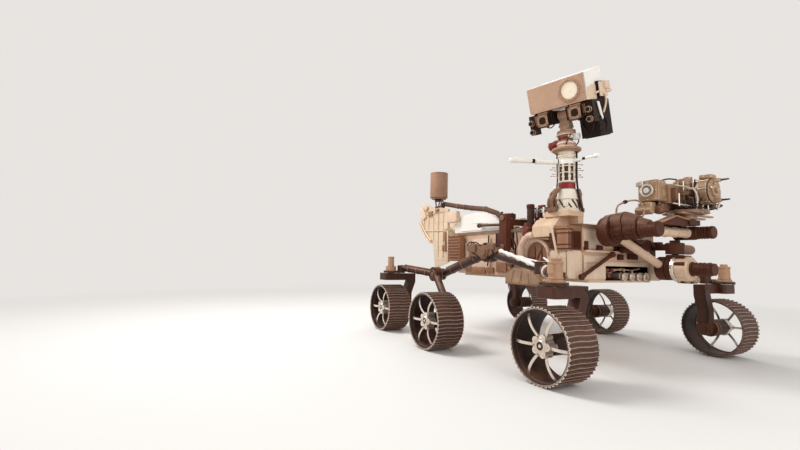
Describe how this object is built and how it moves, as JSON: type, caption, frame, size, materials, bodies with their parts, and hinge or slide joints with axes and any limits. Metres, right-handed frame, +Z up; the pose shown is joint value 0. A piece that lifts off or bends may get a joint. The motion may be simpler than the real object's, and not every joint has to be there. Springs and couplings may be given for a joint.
{
  "type": "planetary rover",
  "caption": "Wheeled planetary rover with rocker suspension, steered corner wheels, a camera mast, a folded jointed arm with a tool turret and a finned power unit at its rear.",
  "frame": {"origin": "centre of the rover's length and width, on the ground", "axes": "+X forward, +Y to the rover's left, +Z up"},
  "size_m": [3.211, 2.734, 2.4696],
  "materials": {
    "wheel_metal": "dusty machined",
    "spoke_metal": "satin",
    "leg_metal": "matt",
    "suspension_tube": "matt",
    "dark_motor": "satin",
    "body_bronze": "satin",
    "cream_panel": "matt",
    "white_panel": "satin",
    "grey_panel": "matt",
    "dark_hose": "matt",
    "mast_white": "matt",
    "head_beige": "matt",
    "lens_glass": "polished",
    "black_box": "matt",
    "arm_metal": "satin",
    "drill_dark": "satin",
    "instrument_gold": "satin",
    "tube_metal": "satin",
    "power_metal": "matt"
  },
  "bodies": {
    "rover": {"steering_motors": "dark_motor", "rocker_right": "suspension_tube", "rocker_left": "suspension_tube", "bogie_right": "suspension_tube", "bogie_left": "suspension_tube", "differential": "arm_metal", "chassis": "body_bronze", "deck": "grey_panel", "front_panels": "cream_panel", "sample_tubes": "tube_metal", "side_boxes": "body_bronze", "mast_box": "cream_panel", "side_arch": "white_panel", "arch_door": "grey_panel", "side_skirt": "cream_panel", "rear_cover": "white_panel", "hose_arch": "dark_hose", "heat_exchangers": "cream_panel", "rear_frame": "body_bronze", "power_unit": "power_metal", "relay_antenna": "white_panel", "deck_instruments": "black_box", "mast_base": "mast_white", "mast_tube": "mast_white", "wind_booms": "arm_metal", "arm_mount": "arm_metal", "antenna_post": "arm_metal"},
    "pan": {"pan_head": "mast_white"},
    "head": {"camera_bar": "dark_motor", "head_box": "head_beige", "head_window": "lens_glass", "head_cover": "white_panel", "head_rear_box": "black_box"},
    "arm_shoulder": {"shoulder": "arm_metal"},
    "arm_upper": {"upper_arm": "arm_metal"},
    "arm_forearm": {"forearm": "arm_metal"},
    "arm_wrist": {"wrist": "arm_metal"},
    "arm_turret": {"turret_core": "arm_metal", "turret_drill": "drill_dark", "turret_instruments": "instrument_gold"},
    "antenna_turn": {"antenna_yoke": "arm_metal"},
    "antenna_dish": {"antenna_plate": "white_panel"},
    "knuckle_front_right": {"steer_front_right_leg": "leg_metal"},
    "knuckle_front_left": {"steer_front_left_leg": "leg_metal"},
    "knuckle_rear_right": {"steer_rear_right_leg": "leg_metal"},
    "knuckle_rear_left": {"steer_rear_left_leg": "leg_metal"},
    "wheel_front_right": {"wheel_front_right_rim": "wheel_metal", "wheel_front_right_hub": "spoke_metal"},
    "wheel_front_left": {"wheel_front_left_rim": "wheel_metal", "wheel_front_left_hub": "spoke_metal"},
    "wheel_middle_right": {"wheel_middle_right_rim": "wheel_metal", "wheel_middle_right_hub": "spoke_metal"},
    "wheel_middle_left": {"wheel_middle_left_rim": "wheel_metal", "wheel_middle_left_hub": "spoke_metal"},
    "wheel_rear_right": {"wheel_rear_right_rim": "wheel_metal", "wheel_rear_right_hub": "spoke_metal"},
    "wheel_rear_left": {"wheel_rear_left_rim": "wheel_metal", "wheel_rear_left_hub": "spoke_metal"}
  },
  "joints": [
    {"name": "front_right_steering", "type": "hinge", "parent": "rover", "child": "knuckle_front_right", "pos_m": [1.14254, -1.118, 0.66], "axis": [0, 0, 1], "range_deg": [-55, 55]},
    {"name": "front_left_steering", "type": "hinge", "parent": "rover", "child": "knuckle_front_left", "pos_m": [1.14254, 1.118, 0.66], "axis": [0, 0, 1], "range_deg": [-55, 55]},
    {"name": "rear_right_steering", "type": "hinge", "parent": "rover", "child": "knuckle_rear_right", "pos_m": [-1.26746, -1.118, 0.66], "axis": [0, 0, 1], "range_deg": [-55, 55]},
    {"name": "rear_left_steering", "type": "hinge", "parent": "rover", "child": "knuckle_rear_left", "pos_m": [-1.26746, 1.118, 0.66], "axis": [0, 0, 1], "range_deg": [-55, 55]},
    {"name": "front_right_wheel", "type": "hinge", "parent": "knuckle_front_right", "child": "wheel_front_right", "pos_m": [1.14254, -1.118, 0.2625], "axis": [0, 1, 0], "continuous": true},
    {"name": "front_left_wheel", "type": "hinge", "parent": "knuckle_front_left", "child": "wheel_front_left", "pos_m": [1.14254, 1.118, 0.2625], "axis": [0, 1, 0], "continuous": true},
    {"name": "middle_right_wheel", "type": "hinge", "parent": "rover", "child": "wheel_middle_right", "pos_m": [-0.13446, -1.225, 0.2625], "axis": [0, 1, 0], "continuous": true},
    {"name": "middle_left_wheel", "type": "hinge", "parent": "rover", "child": "wheel_middle_left", "pos_m": [-0.13446, 1.225, 0.2625], "axis": [0, 1, 0], "continuous": true},
    {"name": "rear_right_wheel", "type": "hinge", "parent": "knuckle_rear_right", "child": "wheel_rear_right", "pos_m": [-1.26746, -1.118, 0.2625], "axis": [0, 1, 0], "continuous": true},
    {"name": "rear_left_wheel", "type": "hinge", "parent": "knuckle_rear_left", "child": "wheel_rear_left", "pos_m": [-1.26746, 1.118, 0.2625], "axis": [0, 1, 0], "continuous": true},
    {"name": "mast_pan", "type": "hinge", "parent": "rover", "child": "pan", "pos_m": [0.79954, -0.537, 1.793], "axis": [0, 0, 1], "range_deg": [-110, 250]},
    {"name": "mast_tilt", "type": "hinge", "parent": "pan", "child": "head", "pos_m": [0.79954, -0.537, 2.1], "axis": [-0.9781, -0.2079, 0], "range_deg": [-70, 108]},
    {"name": "arm_azimuth", "type": "hinge", "parent": "rover", "child": "arm_shoulder", "pos_m": [1.15554, 0.4, 0.925], "axis": [0, 0, 1], "range_deg": [0, 110]},
    {"name": "arm_elevation", "type": "hinge", "parent": "arm_shoulder", "child": "arm_upper", "pos_m": [1.06554, 0.4, 0.8], "axis": [-1, 0, 0], "range_deg": [-25, 45]},
    {"name": "arm_elbow", "type": "hinge", "parent": "arm_upper", "child": "arm_forearm", "pos_m": [1.26154, -0.36, 1.085], "axis": [1, 0, 0], "range_deg": [0, 140]},
    {"name": "arm_wrist", "type": "hinge", "parent": "arm_forearm", "child": "arm_wrist", "pos_m": [1.17554, 0.44, 1.105], "axis": [-1, 0, 0], "range_deg": [0, 100]},
    {"name": "arm_turret", "type": "hinge", "parent": "arm_wrist", "child": "arm_turret", "pos_m": [1.28554, 0.33, 1.212], "axis": [0, 0, 1], "range_deg": [-175, 175]},
    {"name": "antenna_azimuth", "type": "hinge", "parent": "rover", "child": "antenna_turn", "pos_m": [-0.04446, 0.409, 1.25], "axis": [0, 0, 1], "range_deg": [-170, 170]},
    {"name": "antenna_elevation", "type": "hinge", "parent": "antenna_turn", "child": "antenna_dish", "pos_m": [-0.04446, 0.409, 1.524], "axis": [0.766, 0.6428, 0], "range_deg": [-45, 60]}
  ]
}
